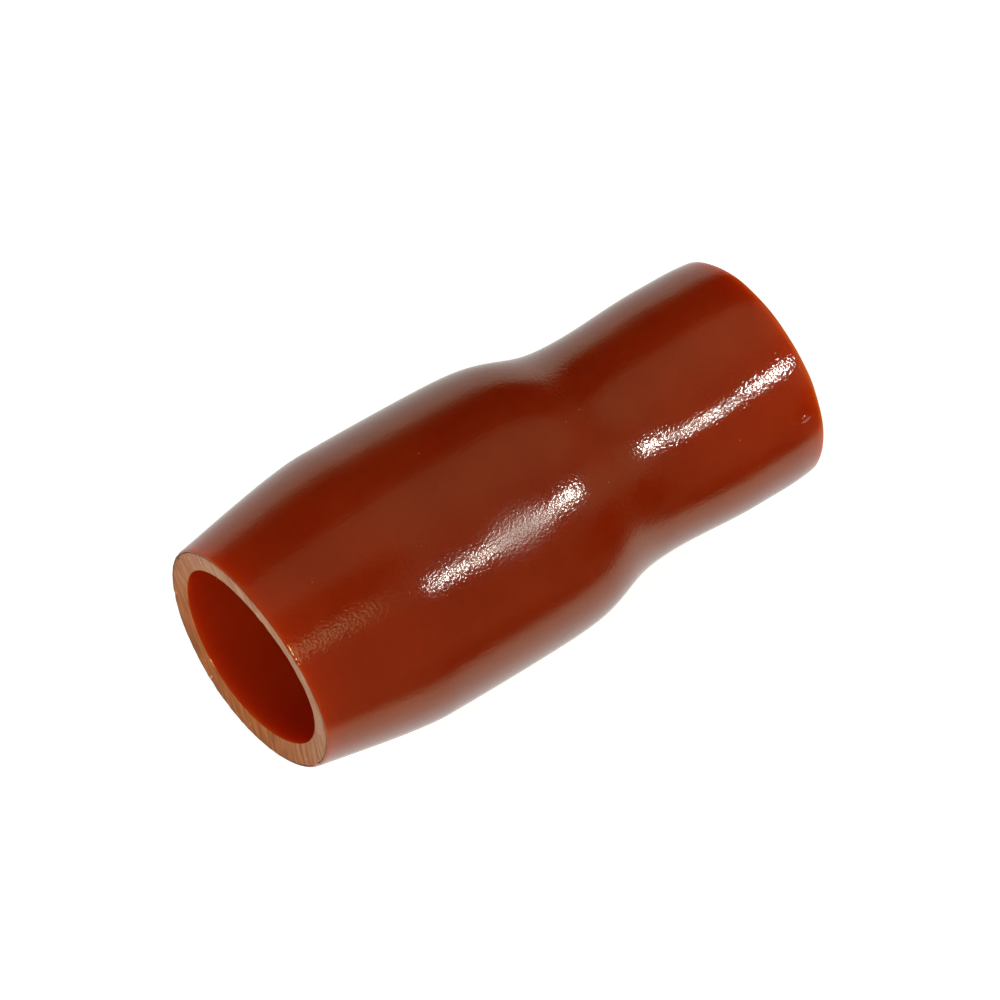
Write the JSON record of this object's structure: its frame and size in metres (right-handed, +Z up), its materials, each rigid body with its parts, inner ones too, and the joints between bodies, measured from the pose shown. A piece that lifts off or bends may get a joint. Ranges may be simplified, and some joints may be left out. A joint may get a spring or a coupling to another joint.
{
  "type": "cable lug insulating sleeve",
  "caption": "Soft vinyl insulating sleeve for a crimped cable lug: a wide belly that covers the barrel, a shoulder and a narrower neck that closes on the cable, open at both ends.",
  "frame": {"origin": "in the middle of the neck's cut end, on the axis, where the cable leaves", "axes": "+X along the sleeve's axis, from the mouth to the neck and out along the cable; +Z up, with the sleeve on its side"},
  "size_m": [0.042, 0.02, 0.02],
  "materials": {
    "vinyl": "glossy soft vinyl, brown-red and slightly translucent, with a fine orange-peel surface and matt knife-cut ends"
  },
  "bodies": {
    "root": {"insulating_sleeve": "vinyl"}
  },
  "joints": []
}
